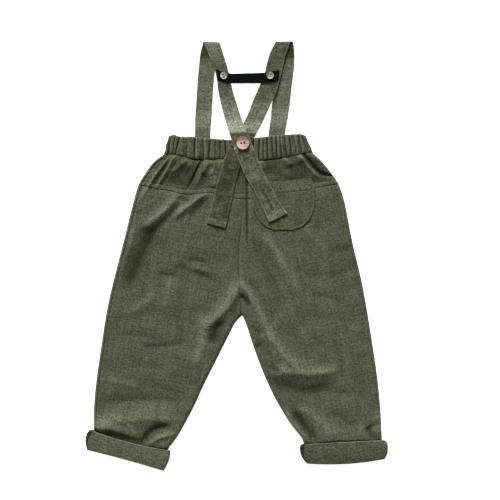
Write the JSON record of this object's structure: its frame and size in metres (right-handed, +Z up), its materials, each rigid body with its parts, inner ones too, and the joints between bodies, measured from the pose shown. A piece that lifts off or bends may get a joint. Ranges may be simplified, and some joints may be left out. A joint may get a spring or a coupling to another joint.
{
  "type": "child's suspender trousers, laid flat",
  "caption": "Child's linen trousers lying flat with the back up: gathered elastic waist, crossed buttoned straps, patch pocket and turned-up hems.",
  "frame": {"origin": "on the surface the garment lies on, under the middle of its outline", "axes": "+Y towards the waist and the shoulder folds, +Z up out of the back of the garment, +X to the wearer's right"},
  "size_m": [0.4528, 0.6432, 0.0128],
  "materials": {
    "linen": "matte slub weave",
    "strap_linen": "matte slub weave, turned and topstitched",
    "elastic": "matte ribbed elastic",
    "pink_wood": "smooth, lightly waxed",
    "pale_wood": "smooth, lightly waxed"
  },
  "bodies": {
    "root": {"waistband_back": "linen", "waistband_front": "linen", "yoke_left": "linen", "yoke_right": "linen", "back_leg_left": "linen", "back_leg_right": "linen", "front_leg_left": "linen", "front_leg_right": "linen", "cuff_left": "linen", "cuff_right": "linen", "pocket_back": "linen", "strap_left": "strap_linen", "strap_right": "strap_linen", "cross_band": "elastic", "button_waist": "pink_wood", "button_band_left": "pale_wood", "button_band_right": "pale_wood"}
  },
  "joints": []
}
